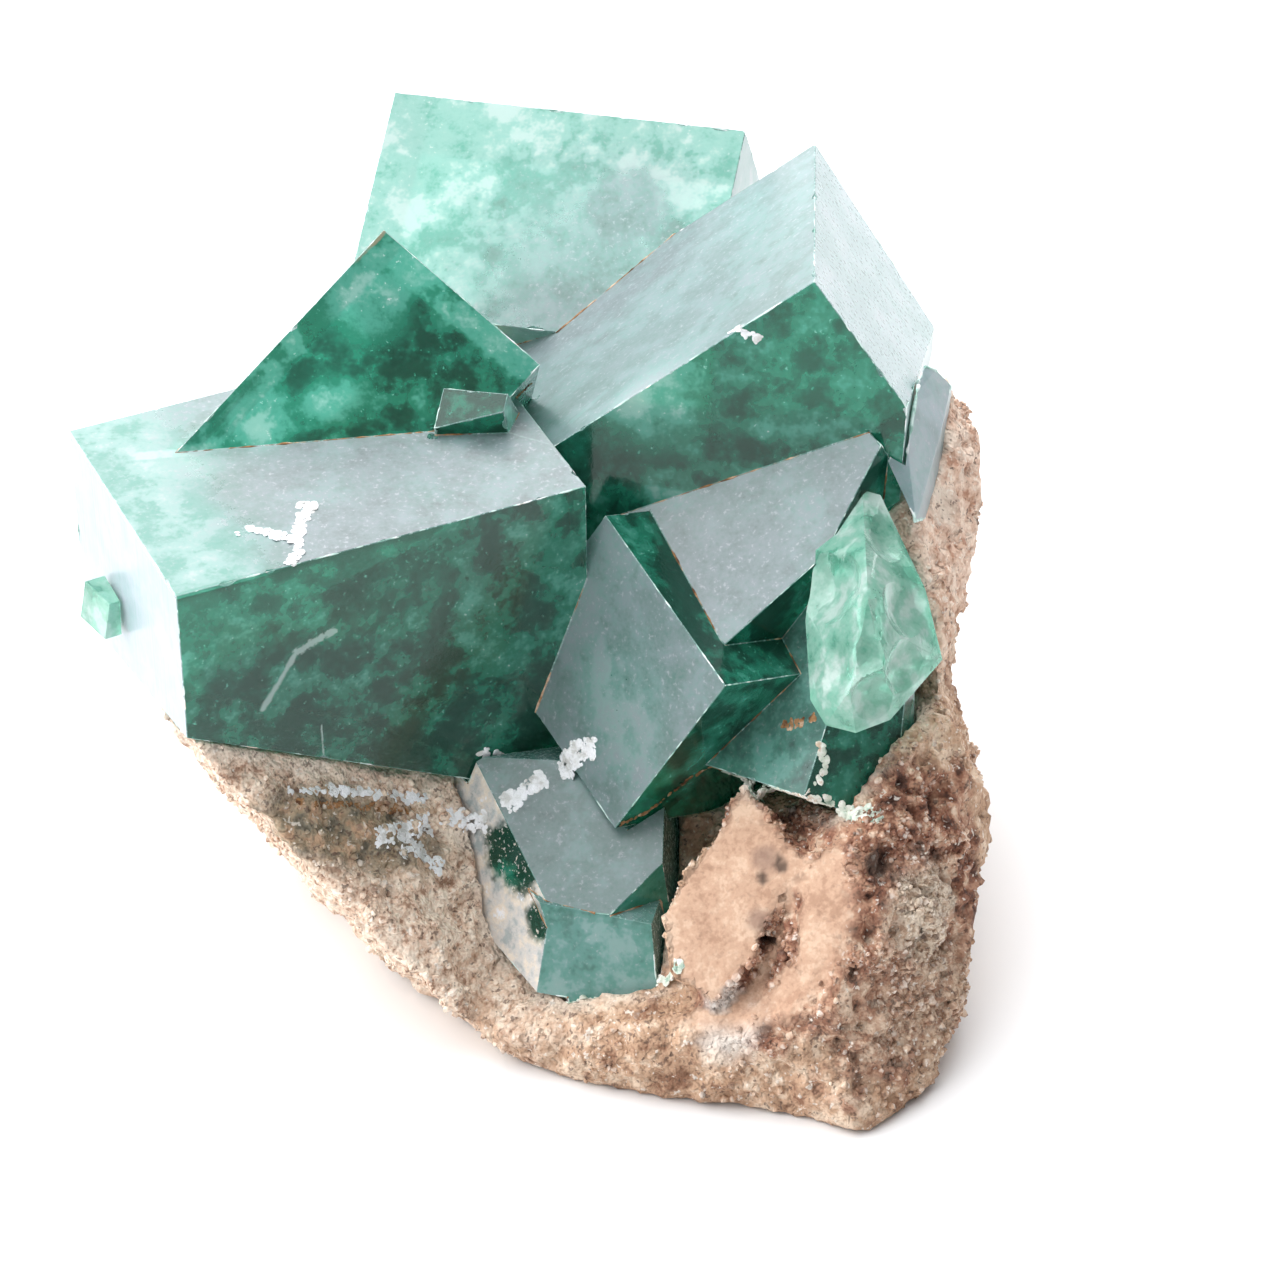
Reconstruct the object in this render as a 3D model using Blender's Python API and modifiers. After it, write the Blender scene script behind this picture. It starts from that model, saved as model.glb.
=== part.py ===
"""Fluorite specimen: large green cubes grown into each other on a rough tan rock.

Metres, +Z up, front towards -Y. The rock rests on its flat underside at Z = 0, and the
object is centred on X = Y = 0. The tables are in millimetres from a datum near its middle.
"""

import math

import bmesh
import bpy
from mathutils import Euler, Matrix, Vector, noise

MM = 0.001

# Driving dimensions
GAP = 0.3 * MM                  # between the rock and the crystals that sit in it
ROCK_VOXEL = 1.7 * MM           # first, fine skin of the rock
ROCK_TRIANGLES = 3400           # faceted skin of the rock
ROCK_SWELL = 1.3 * MM           # height of the broad lumps
ROCK_SWELL_SIZE = 13.0 * MM
ROCK_PITTING = 0.9 * MM         # depth of the small pits
ROCK_PIT_SIZE = 4.5 * MM
BASE_LEVEL = -6.0               # height of the flat underside, in the tables' millimetres
MERGE = 0.02 * MM
CUT_BLOCK = 60.0 * MM           # raw block that broken crystals are cut from

# Every whole crystal: the corner nearest the viewer, its turn in degrees about X, Y and Z,
# the lengths of its three edges from that corner, and the planes that cut it (point, facing).
FRONT_CUBE = dict(
    corner=(-34.0, -6.0, 48.0), turn=(3.5, -2.0, 24.5), edges=(44.0, 31.5, -37.0),
    cuts=[((-33.7, -5.2, 30.4), (-0.33, -0.28, -0.90))])
TILTED_CUBE = dict(
    corner=(-15.0, 37.0, 65.5), turn=(-35.5, 29.5, -138.5), edges=(34.0, 21.5, -22.0), cuts=[])
FOOT_CUBE = dict(
    corner=(-8.7, 24.8, 53.7), turn=(-36.0, 4.0, 163.0), edges=(-7.0, 8.0, -8.0),
    cuts=[((-5.5, 21.3, 51.6), (0.05, -0.98, -0.2))])
RIGHT_CUBE = dict(
    corner=(29.0, 21.5, 68.0), turn=(-81.5, 35.0, -177.0), edges=(41.0, 25.0, -39.5),
    cuts=[((30.3, 60.8, 63.3), (0.18, 0.93, -0.31)), ((38.6, 19.5, 54.1), (0.99, -0.15, -0.03))])
REAR_CUBE = dict(
    corner=(23.0, 69.0, 60.5), turn=(-36.0, 0.5, 165.5), edges=(40.0, 26.5, -22.0), cuts=[])
MIDDLE_CUBE = dict(
    corner=(20.0, -3.0, 35.5), turn=(-70.5, -24.0, 125.0), edges=(23.0, 22.5, -22.0), cuts=[])
STEPPED_CUBE = dict(
    corner=(20.0, 3.0, 36.5), turn=(16.0, -31.5, 29.0), edges=(25.7, 20.0, -16.0),
    cuts=[((36.0, 17.7, 51.1), (0.84, -0.55, 0.0)), ((39.0, 18.0, 36.0), (0.90, 0.0, -0.43))])


def rotation(turn):
    return Euler([math.radians(a) for a in turn], "XYZ").to_matrix()


def new_object(name, bm, collection):
    mesh = bpy.data.meshes.new(name)
    bm.to_mesh(mesh)
    bm.free()
    obj = bpy.data.objects.new(name, mesh)
    collection.objects.link(obj)
    return obj


def trim(bm, point, facing, grow):
    """Cuts away what lies beyond the plane through the point, and closes the cut."""
    normal = Vector(facing).normalized()
    at = Vector(point) * MM + normal * grow
    cut = bmesh.ops.bisect_plane(
        bm, geom=bm.verts[:] + bm.edges[:] + bm.faces[:], plane_co=at, plane_no=normal,
        clear_outer=True, dist=1e-7)
    edges = [e for e in cut["geom_cut"] if isinstance(e, bmesh.types.BMEdge)]
    if edges:
        bmesh.ops.contextual_create(bm, geom=edges)


def cube_crystal(name, crystal, collection, grow=0.0):
    """A straight-edged crystal from one corner, cut by its planes."""
    axes = rotation(crystal["turn"])
    lengths = [length * MM for length in crystal["edges"]]
    middle = Vector(crystal["corner"]) * MM + axes @ (Vector(lengths) / 2)
    size = [abs(length) + 2 * grow for length in lengths]
    bm = bmesh.new()
    bmesh.ops.create_cube(bm, size=1.0, matrix=(
        Matrix.Translation(middle) @ axes.to_4x4() @ Matrix.Diagonal((*size, 1.0))))
    for point, facing in crystal["cuts"]:
        trim(bm, point, facing, grow)
    bmesh.ops.recalc_face_normals(bm, faces=bm.faces[:])
    return new_object(name, bm, collection)


def broken_crystal(name, middle, planes, collection, grow=0.0):
    """A broken crystal: what is left of a raw block behind all its break and growth planes."""
    bm = bmesh.new()
    bmesh.ops.create_cube(bm, size=CUT_BLOCK, matrix=Matrix.Translation(Vector(middle) * MM))
    for point, facing in planes:
        trim(bm, point, facing, grow)
    bmesh.ops.recalc_face_normals(bm, faces=bm.faces[:])
    return new_object(name, bm, collection)


def hull(name, points, collection, grow=0.0):
    """The lump spanned by its outermost points."""
    bm = bmesh.new()
    middle = sum((Vector(p) for p in points), Vector()) / len(points)
    for p in points:
        outward = (Vector(p) - middle).normalized()
        bm.verts.new(Vector(p) * MM + outward * grow)
    result = bmesh.ops.convex_hull(bm, input=bm.verts[:])
    inside = [g for g in result["geom_interior"] if isinstance(g, bmesh.types.BMVert)]
    bmesh.ops.delete(bm, geom=inside, context="VERTS")
    bmesh.ops.recalc_face_normals(bm, faces=bm.faces[:])
    return new_object(name, bm, collection)


def apply_modifiers(obj):
    graph = bpy.context.evaluated_depsgraph_get()
    graph.update()
    mesh = bpy.data.meshes.new_from_object(obj.evaluated_get(graph))
    obj.modifiers.clear()
    obj.data = mesh


def combine(target, tool, operation):
    cut = target.modifiers.new(operation.title(), "BOOLEAN")
    cut.operation = operation
    cut.solver = "EXACT"
    cut.object = tool
    apply_modifiers(target)


def discard(obj):
    bpy.data.objects.remove(obj, do_unlink=True)


def tidy(obj):
    """Merges near-identical points, drops slivers and keeps the one body."""
    bm = bmesh.new()
    bm.from_mesh(obj.data)
    bmesh.ops.remove_doubles(bm, verts=bm.verts[:], dist=MERGE)
    bmesh.ops.dissolve_degenerate(bm, edges=bm.edges[:], dist=MERGE)
    bmesh.ops.triangulate(bm, faces=bm.faces[:])
    seen = set()
    bodies = []
    for start in bm.faces:
        if start in seen:
            continue
        body, todo = set(), [start]
        while todo:
            face = todo.pop()
            if face in body:
                continue
            body.add(face)
            todo.extend(near for edge in face.edges if len(edge.link_faces) == 2 for near in edge.link_faces)
        seen |= body
        bodies.append(body)
    bodies.sort(key=len, reverse=True)
    for body in bodies[1:]:
        bmesh.ops.delete(bm, geom=list(body), context="FACES")
    bmesh.ops.recalc_face_normals(bm, faces=bm.faces[:])
    bm.to_mesh(obj.data)
    bm.free()


COLOURS = {
    "Matrix_Rock": ((0.46, 0.30, 0.20), 0.9),
    "Fluorite_Cluster": ((0.05, 0.22, 0.15), 0.15),
    "Bottom_Crystals": ((0.09, 0.23, 0.18), 0.2),
    "Pale_Broken_Crystal": ((0.35, 0.62, 0.50), 0.15),
    "Right_Edge_Crystal": ((0.20, 0.30, 0.22), 0.3),
    "Small_Left_Crystal": ((0.45, 0.66, 0.56), 0.25),
}


def paint(obj, colour, roughness):
    """Principled material from the linear colour."""
    material = bpy.data.materials.new(obj.name)
    material.use_nodes = True
    shader = material.node_tree.nodes["Principled BSDF"]
    shader.inputs["Base Color"].default_value = (*colour, 1.0)
    shader.inputs["Roughness"].default_value = roughness
    shader.inputs["Metallic"].default_value = 0.0
    material.diffuse_color = (*colour, 1.0)
    obj.data.materials.clear()
    obj.data.materials.append(material)


CORNER_BLOCK = [
    ((27.0, 4.0, 31.0), (-0.605, -0.514, 0.607)),      # grey-green face against the middle cube
    ((21.2, 0.4, 22.4), (-0.32, -0.54, -0.78)),        # break along the foot
    ((30.0, -1.5, 29.7), (0.45, -0.79, 0.395)),        # darker face at the right
    ((38.0, 3.0, 32.0), (0.85, -0.35, 0.1)),
    ((39.5, 10.0, 32.0), (1.0, 0.0, 0.0)),
    ((35.0, 6.0, 40.0), (0.2, 0.1, 0.95)),
    ((32.0, 18.0, 30.0), (0.1, 0.98, 0.0)),
    ((30.0, 0.0, 18.0), (0.0, 0.0, -1.0)),
    ((16.0, 3.0, 19.0), (-0.9, 0.2, -0.3)),
]

BOTTOM_MIDDLE = (2.0, 0.0, 8.0)
BOTTOM_BLOCK = [
    ((5.0, -10.4, 6.8), (-0.12, -0.56, 0.82)),         # grey face under the middle cube
    ((5.0, -10.4, 6.8), (-0.73, -0.60, 0.33)),         # crusted face at the left
    ((3.2, -5.6, 9.9), (-0.18, -0.92, 0.35)),          # striated face above the foot
    ((9.7, -5.7, 10.8), (0.62, -0.78, -0.03)),         # small bright face
    ((13.8, -3.0, 13.0), (0.97, -0.10, 0.10)),
    ((4.0, -9.5, 1.0), (0.0, 0.25, -0.97)),
    ((0.0, 14.0, 10.0), (0.0, 1.0, 0.0)),
    ((-13.0, 9.0, 6.0), (-0.9, 0.3, -0.1)),
    ((0.0, 8.0, 19.0), (0.0, 0.3, 0.95)),
]

FOOT_BLOCK = [
    ((3.2, -5.6, 9.9), (-0.18, -0.92, 0.35)),          # striated face
    ((4.3, -10.0, 3.0), (-0.90, -0.42, -0.10)),
    ((12.9, -7.4, 8.0), (0.97, -0.15, 0.15)),
    ((4.1, -9.5, 0.0), (0.05, -0.35, -0.93)),
    ((8.0, -5.0, 9.6), (0.1, 0.1, 0.98)),
    ((8.0, 4.0, 6.0), (0.0, 1.0, 0.0)),
]

PALE_LUMP = [
    (34.1, 15.0, 47.4), (35.9, 14.7, 47.0), (40.2, 5.3, 41.6), (41.9, 1.4, 35.7), (36.4, -6.0, 33.4),
    (32.9, -7.6, 32.9), (30.0, -5.5, 32.4), (28.5, -3.3, 34.0), (28.1, 3.6, 39.1), (29.2, 9.1, 43.9),
    (34.0, -2.9, 45.6), (35.2, -6.9, 41.2), (32.2, -7.7, 38.1), (34.0, 12.0, 36.0), (31.0, 8.0, 34.0),
]

EDGE_CRYSTAL = [
    (41.1, 32.3, 52.0), (42.3, 32.9, 51.2), (42.7, 26.9, 47.4), (38.6, 18.4, 47.2), (38.4, 22.5, 52.5),
    (36.1, 19.0, 50.0), (39.6, 14.6, 43.8), (43.5, 30.0, 42.0), (42.0, 22.0, 40.0), (44.0, 33.5, 49.0),
]

SMALL_CRYSTAL = dict(
    corner=(-42.6, 10.0, 36.8), turn=(8.0, 6.0, 40.0), edges=(3.0, 4.5, -4.5), cuts=[])

LEFT_FLANK = [
    (-36.6, 9.8, 21.6), (-34.2, -6.0, 30.5), (-30.6, -4.3, 27.2), (-26.6, -1.9, 20.9), (-15.7, 3.2, 18.0),
    (-10.6, 5.8, 13.6), (-3.0, 9.6, 13.0), (-44.0, 21.0, 27.0), (-38.0, 40.0, 24.0), (-22.4, 4.5, 8.5),
    (-12.0, -6.5, 2.0), (-4.8, -11.0, -2.5), (-24.5, 30.0, -10.0), (-13.0, 9.0, -10.0), (-6.0, -2.5, -10.0),
    (10.0, 20.0, -10.0), (-22.0, 46.0, -10.0), (0.0, 40.0, 25.0), (3.0, -8.0, -10.0),
]
GROUND = [
    (-5.0, -11.0, -2.5), (4.0, -12.0, -0.5), (12.0, -12.5, 1.5), (21.0, -19.0, 4.0), (31.0, -20.0, 8.0),
    (7.6, -15.0, -6.0), (20.7, -18.5, -6.0), (33.8, -23.0, -6.0), (40.5, -16.0, -6.0), (43.5, -4.0, -6.0),
    (8.0, -12.0, -10.0), (33.0, -18.0, -10.0), (44.0, 12.0, -10.0), (45.0, 40.0, -10.0), (36.0, 64.0, -10.0),
    (10.0, 72.0, -10.0), (-12.0, 64.0, -10.0), (-23.0, 46.0, -10.0), (-6.0, -2.0, -10.0), (36.0, 60.0, 22.0),
    (12.0, 73.0, 22.0), (-14.0, 64.0, 20.0), (42.0, 40.0, 20.0), (14.0, 10.0, 13.0),
]
RIGHT_WALL = [
    (42.6, 33.5, 49.5), (46.9, 36.4, 43.7), (47.8, 32.3, 41.0), (46.6, 29.3, 40.0), (46.3, 21.3, 35.1),
    (42.6, 9.5, 34.3), (38.9, 14.7, 44.5), (44.0, 52.0, 38.0), (30.0, 62.0, 34.0), (26.0, 50.0, 42.0),
    (37.0, 42.0, 47.0), (24.0, 30.0, 40.0), (30.0, 30.0, 10.0), (42.0, 8.0, 18.0), (44.0, 50.0, 4.0),
    (30.0, 60.0, 4.0),
]
RIGHT_FOOT = [
    (43.2, 5.1, 27.4), (47.6, 2.7, 13.8), (43.6, -7.2, 9.6), (43.6, -11.0, -1.0), (37.5, 0.0, 28.0),
    (35.5, -11.0, 20.8), (27.5, -9.4, 18.4), (24.0, 2.0, 15.0), (34.0, -23.0, -6.0), (41.0, -17.0, -6.0),
    (44.0, 8.0, -10.0), (46.0, 40.0, -10.0), (24.0, -19.0, 3.0), (44.0, 40.0, 12.0),
]
REAR_SHELF = [
    (30.0, 60.0, 34.0), (26.0, 78.0, 30.0), (0.0, 84.0, 30.0), (-18.0, 74.0, 28.0), (-22.0, 50.0, 32.0),
    (0.0, 44.0, 42.0), (24.0, 44.0, 42.0), (-14.0, 64.0, -10.0), (30.0, 62.0, -10.0), (8.0, 72.0, -10.0),
    (-30.0, 44.0, 26.0), (-20.0, 40.0, -10.0),
]
PALE_KNOB = [
    (38.0, -10.5, 15.0), (42.5, -9.0, 16.0), (44.5, -5.0, 13.0), (43.5, -12.0, 9.0), (38.5, -14.5, 10.0),
    (37.0, -13.0, 13.0), (40.0, -4.0, 10.0), (41.0, -13.5, 14.0),
]
TAN_BLOCK = [
    (22.2, -1.3, 22.3), (13.5, -10.1, 12.4), (19.1, -17.0, 5.5), (27.6, -8.2, 19.1), (14.5, -14.0, 8.0),
    (24.0, -13.6, 11.6), (24.0, 6.0, 12.0), (18.0, 2.0, 4.0), (28.0, -4.0, 6.0), (20.0, -12.0, -2.0),
]
HOLLOW = [
    (12.5, -6.5, 22.0), (17.6, -5.5, 23.4), (21.6, -5.5, 24.6), (12.6, -13.0, 15.6), (12.4, -9.0, 19.0),
    (12.5, -2.0, 18.0), (21.8, -1.4, 22.0), (13.2, -9.6, 12.4), (13.0, 8.0, 10.0), (20.0, 8.0, 12.0),
    (14.0, 1.0, 5.0),
]


def roughen(obj):
    """Broad lumps and small pits on the fine skin, from solid noise."""
    mesh = obj.data
    normals = [v.normal.copy() for v in mesh.vertices]
    for vert, normal in zip(mesh.vertices, normals):
        swell = noise.noise(vert.co / ROCK_SWELL_SIZE)
        pits = noise.noise(vert.co / ROCK_PIT_SIZE + Vector((7.0, 3.0, 5.0)))
        vert.co += normal * (swell * ROCK_SWELL - abs(pits) * ROCK_PITTING)
    mesh.update()


def build_rock(collection, cutters, neighbours):
    lumps = [hull(f"lump_{i}", points, collection) for i, points in enumerate(
        (LEFT_FLANK, GROUND, RIGHT_WALL, RIGHT_FOOT, REAR_SHELF, PALE_KNOB))]
    rock = lumps[0]
    rock.name = "Matrix_Rock"
    for lump in lumps[1:]:
        combine(rock, lump, "UNION")
        discard(lump)
    skin = rock.modifiers.new("Skin", "REMESH")
    skin.mode = "VOXEL"
    skin.voxel_size = ROCK_VOXEL
    apply_modifiers(rock)
    roughen(rock)
    facets = rock.modifiers.new("Facets", "DECIMATE")
    facets.ratio = ROCK_TRIANGLES / sum(len(p.vertices) - 2 for p in rock.data.polygons)
    apply_modifiers(rock)
    for name, points, operation in (("hollow", HOLLOW, "DIFFERENCE"), ("tan_block", TAN_BLOCK, "UNION")):
        tool = hull(name, points, collection)
        combine(rock, tool, operation)
        discard(tool)
    bm = bmesh.new()
    bm.from_mesh(rock.data)
    trim(bm, (0.0, 0.0, BASE_LEVEL), (0.0, 0.0, -1.0), 0.0)
    bm.to_mesh(rock.data)
    bm.free()
    for tool in neighbours:
        combine(rock, tool, "DIFFERENCE")
        tool.hide_render = True
        tool.display_type = "WIRE"
        for old in tool.users_collection:
            old.objects.unlink(tool)
        cutters.objects.link(tool)
    tidy(rock)


CUBES =(FRONT_CUBE, TILTED_CUBE, FOOT_CUBE, RIGHT_CUBE, REAR_CUBE, MIDDLE_CUBE, STEPPED_CUBE)


def build_cluster(name, collection, grow=0.0):
    cluster = cube_crystal(name, CUBES[0], collection, grow)
    for number, crystal in enumerate(CUBES[1:]):
        tool = cube_crystal(f"cube_{number}", crystal, collection, grow)
        combine(cluster, tool, "UNION")
        discard(tool)
    tool = broken_crystal("corner_block", (28.0, 8.0, 28.0), CORNER_BLOCK, collection, grow)
    combine(cluster, tool, "UNION")
    discard(tool)
    return cluster


def build_bottom(name, collection, grow=0.0):
    block = broken_crystal(name, BOTTOM_MIDDLE, BOTTOM_BLOCK, collection, grow)
    foot = broken_crystal("foot_block", BOTTOM_MIDDLE, FOOT_BLOCK, collection, grow)
    combine(block, foot, "UNION")
    discard(foot)
    return block


def rest_on_ground(objects):
    """Moves the pieces together, so that their box is centred on X = Y = 0 and stands on Z = 0."""
    corners = [v.co for obj in objects for v in obj.data.vertices]
    low = Vector([min(c[k] for c in corners) for k in range(3)])
    high = Vector([max(c[k] for c in corners) for k in range(3)])
    shift = Vector((-(low.x + high.x) / 2, -(low.y + high.y) / 2, -low.z))
    for obj in objects:
        obj.data.transform(Matrix.Translation(shift))


def main():
    for obj in list(bpy.data.objects):
        bpy.data.objects.remove(obj, do_unlink=True)
    scene = bpy.context.scene
    parts = bpy.data.collections.new("Fluorite_Specimen")
    cutters = bpy.data.collections.new("Cutters")
    scene.collection.children.link(parts)
    scene.collection.children.link(cutters)

    cluster = build_cluster("Fluorite_Cluster", parts)
    cluster_space = build_cluster("cluster_space", parts, GAP)
    bottom = build_bottom("Bottom_Crystals", parts)
    bottom_space = build_bottom("bottom_space", parts, GAP)
    lump = hull("Pale_Broken_Crystal", PALE_LUMP, parts)
    lump_space = hull("lump_space", PALE_LUMP, parts, GAP)
    edge = hull("Right_Edge_Crystal", EDGE_CRYSTAL, parts)
    edge_space = hull("edge_space", EDGE_CRYSTAL, parts, GAP)
    small = cube_crystal("Small_Left_Crystal", SMALL_CRYSTAL, parts)
    small_space = cube_crystal("small_space", SMALL_CRYSTAL, parts, GAP)

    for piece in (bottom, lump, edge, small):
        combine(piece, cluster_space, "DIFFERENCE")
    combine(edge, lump_space, "DIFFERENCE")

    build_rock(parts, cutters, [cluster_space, bottom_space, lump_space, edge_space, small_space])
    for piece in (cluster, bottom, lump, edge, small):
        tidy(piece)
    rest_on_ground(list(parts.objects))
    for name, (colour, roughness) in COLOURS.items():
        paint(bpy.data.objects[name], colour, roughness)


main()
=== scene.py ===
"""Looks of the fluorite specimen: green cubes with cloudy insides on porous tan rock.

Lengths in the tables are millimetres from the specimen's datum; everything built is in metres.
"""

import math
import random

import bmesh
import bpy
from mathutils import Euler, Matrix, Vector, noise
from mathutils.bvhtree import BVHTree


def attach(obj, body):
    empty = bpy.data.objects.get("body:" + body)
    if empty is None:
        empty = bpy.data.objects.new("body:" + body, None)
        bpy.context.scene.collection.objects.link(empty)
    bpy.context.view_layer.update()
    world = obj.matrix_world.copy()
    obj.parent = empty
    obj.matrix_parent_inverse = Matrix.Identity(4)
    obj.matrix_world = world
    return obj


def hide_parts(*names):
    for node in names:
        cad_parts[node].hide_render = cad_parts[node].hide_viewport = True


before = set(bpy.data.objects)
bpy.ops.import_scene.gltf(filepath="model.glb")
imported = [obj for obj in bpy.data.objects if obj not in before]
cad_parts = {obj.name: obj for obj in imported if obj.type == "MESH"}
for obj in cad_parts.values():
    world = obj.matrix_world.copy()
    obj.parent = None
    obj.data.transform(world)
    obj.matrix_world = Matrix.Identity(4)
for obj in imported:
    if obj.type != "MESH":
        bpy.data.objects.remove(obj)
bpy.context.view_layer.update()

MM = 0.001
DATUM = Vector((-0.24, -34.41, 6.0))      # where the tables' datum lies in the frame, in millimetres
FLUORITE_IOR = 1.434


def place(point):
    """A point of the tables, in metres in the frame."""
    return (Vector(point) + DATUM) * MM


# Crystals: the corner nearest the viewer, the turn in degrees about X, Y and Z, the lengths of the three
# edges from that corner, and for each of the corner's three faces its look: tone from deep green at 0
# to near white at 1, how frosted grey it is, the grey partly a painted sheen of the bright light above,
# and how milky it is, the lavender-white partly a painted reflection.

CRYSTALS = dict(
    front=dict(corner=(-34.0, -6.0, 48.0), turn=(3.5, -2.0, 24.5), edges=(44.0, 31.5, -37.0),
               looks=((0.75, 0.3, 0.9), (0.15, 0.08, 0.0), (0.24, 0.95, 0.0))),
    tilted=dict(corner=(-15.0, 37.0, 65.5), turn=(-35.5, 29.5, -138.5), edges=(34.0, 21.5, -22.0),
                looks=((0.2, 0.0, 0.0), (0.6, 0.2, 0.0), (0.13, 0.0, 0.0))),
    foot=dict(corner=(-8.7, 24.8, 53.7), turn=(-36.0, 4.0, 163.0), edges=(-7.0, 8.0, -8.0),
              looks=((0.0, 0.0, 0.0), (0.0, 0.0, 0.0), (-0.1, 0.0, 0.0))),
    right=dict(corner=(29.0, 21.5, 68.0), turn=(-81.5, 35.0, -177.0), edges=(41.0, 25.0, -39.5),
               looks=((0.60, 0.4, 0.45), (0.36, 0.95, 0.0), (0.20, 0.0, 0.0))),
    # the rear crystal's pale tones are partly painted light shining through it from behind
    rear=dict(corner=(23.0, 69.0, 60.5), turn=(-36.0, 0.5, 165.5), edges=(40.0, 26.5, -22.0),
              looks=((0.8, 0.4, 0.6), (0.7, 0.3, 0.0), (0.80, 0.1, 0.0))),
    middle=dict(corner=(20.0, -3.0, 35.5), turn=(-70.5, -24.0, 125.0), edges=(23.0, 22.5, -22.0),
                looks=((0.13, 0.0, 0.0), (0.10, 0.05, 0.0), (0.40, 1.0, 0.0))),
    stepped=dict(corner=(20.0, 3.0, 36.5), turn=(16.0, -31.5, 29.0), edges=(25.7, 20.0, -16.0),
                 looks=((0.1, 0.0, 0.0), (0.13, 0.0, 0.0), (0.28, 1.0, 0.06))),
)
HIDDEN_LOOK = (0.5, 0.4, 0.1)              # the faces away from the corner
WORN_AND_HIGHLIT_LOOK = (0.56, 0.6, 0.1)               # worn edges and chips, paler partly as a painted highlight

# Other faces of the cluster and of the bottom crystals: a point, the facing, the look and the crust.
BROKEN_FACES = [
    ((36.0, 17.7, 51.1), (0.84, -0.55, 0.0), (0.10, 0.0, 0.0), 0.0),
    ((39.0, 18.0, 36.0), (0.90, 0.0, -0.43), (0.10, 0.1, 0.0), 0.0),
    ((30.3, 60.8, 63.3), (0.18, 0.93, -0.31), (0.6, 0.6, 0.2), 0.0),
    ((38.6, 19.5, 54.1), (0.99, -0.15, -0.03), (0.5, 0.7, 0.2), 0.0),
    ((27.0, 4.0, 31.0), (-0.605, -0.514, 0.607), (0.30, 0.45, 0.0), 0.0),
    ((21.2, 0.4, 22.4), (-0.32, -0.54, -0.78), (0.12, 0.0, 0.0), 0.0),
    ((30.0, -1.5, 29.7), (0.45, -0.79, 0.395), (0.08, 0.1, 0.0), 0.0),
    ((38.0, 3.0, 32.0), (0.85, -0.35, 0.1), (0.2, 0.3, 0.0), 0.0),
    ((5.0, -10.4, 6.8), (-0.12, -0.56, 0.82), (0.36, 0.8, 0.05), 0.0),
    ((5.0, -10.4, 6.8), (-0.73, -0.60, 0.33), (0.03, 0.0, 0.0), 1.0),
    ((3.2, -5.6, 9.9), (-0.18, -0.92, 0.35), (0.46, 0.3, 0.15), 0.0),
    ((9.7, -5.7, 10.8), (0.62, -0.78, -0.03), (0.55, 0.0, 0.0), 0.0),
    ((-5.5, 21.3, 51.6), (0.05, -0.98, -0.2), (0.0, 0.0, 0.0), 0.0),
    ((4.3, -10.0, 3.0), (-0.90, -0.42, -0.10), (0.3, 0.5, 0.3), 1.0),
]


# Camera, floor and light

VIEW_ELEVATION = math.radians(33.0)
VIEW_DISTANCE = 0.5
VIEW_WIDTH = 0.128                         # width of the picture at the specimen
VIEW_AIM = (11.5, 0.0, 39.0)


def set_camera():
    toward = Vector((0.0, -math.cos(VIEW_ELEVATION), math.sin(VIEW_ELEVATION)))
    data = bpy.data.cameras.new("Camera")
    data.sensor_width = 36.0
    data.lens = data.sensor_width * VIEW_DISTANCE / VIEW_WIDTH
    data.clip_start = 0.01
    data.clip_end = 20.0
    camera = bpy.data.objects.new("Camera", data)
    camera.location = place(VIEW_AIM) + toward * VIEW_DISTANCE
    camera.rotation_euler = (math.pi / 2 - VIEW_ELEVATION, 0.0, 0.0)
    bpy.context.scene.collection.objects.link(camera)
    bpy.context.scene.camera = camera


class Wire:
    """One socket of a node tree; arithmetic on it adds Math nodes."""

    def __init__(self, sheet, socket):
        self.sheet, self.socket = sheet, socket

    def maths(self, operation, *values):
        return self.sheet.node("ShaderNodeMath", {"operation": operation}, dict(enumerate(values)))

    def __add__(self, other):
        return self.maths("ADD", self, other)

    def __radd__(self, other):
        return self.maths("ADD", other, self)

    def __sub__(self, other):
        return self.maths("SUBTRACT", self, other)

    def __rsub__(self, other):
        return self.maths("SUBTRACT", other, self)

    def __mul__(self, other):
        return self.maths("MULTIPLY", self, other)

    def __rmul__(self, other):
        return self.maths("MULTIPLY", other, self)

    def __abs__(self):
        return self.maths("ABSOLUTE", self)

    def least(self, other):
        return self.maths("MINIMUM", self, other)

    def most(self, other):
        return self.maths("MAXIMUM", self, other)

    def step(self, low, high):
        """0 below low, 1 above high and smooth between; low may be the larger of the two."""
        return self.sheet.node("ShaderNodeMapRange", {"interpolation_type": "SMOOTHSTEP"}, {
            "Value": self, "From Min": low, "From Max": high, "To Min": 0.0, "To Max": 1.0})

    def other(self, output):
        """Another output of the same node."""
        return Wire(self.sheet, self.socket.node.outputs[output])


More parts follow.
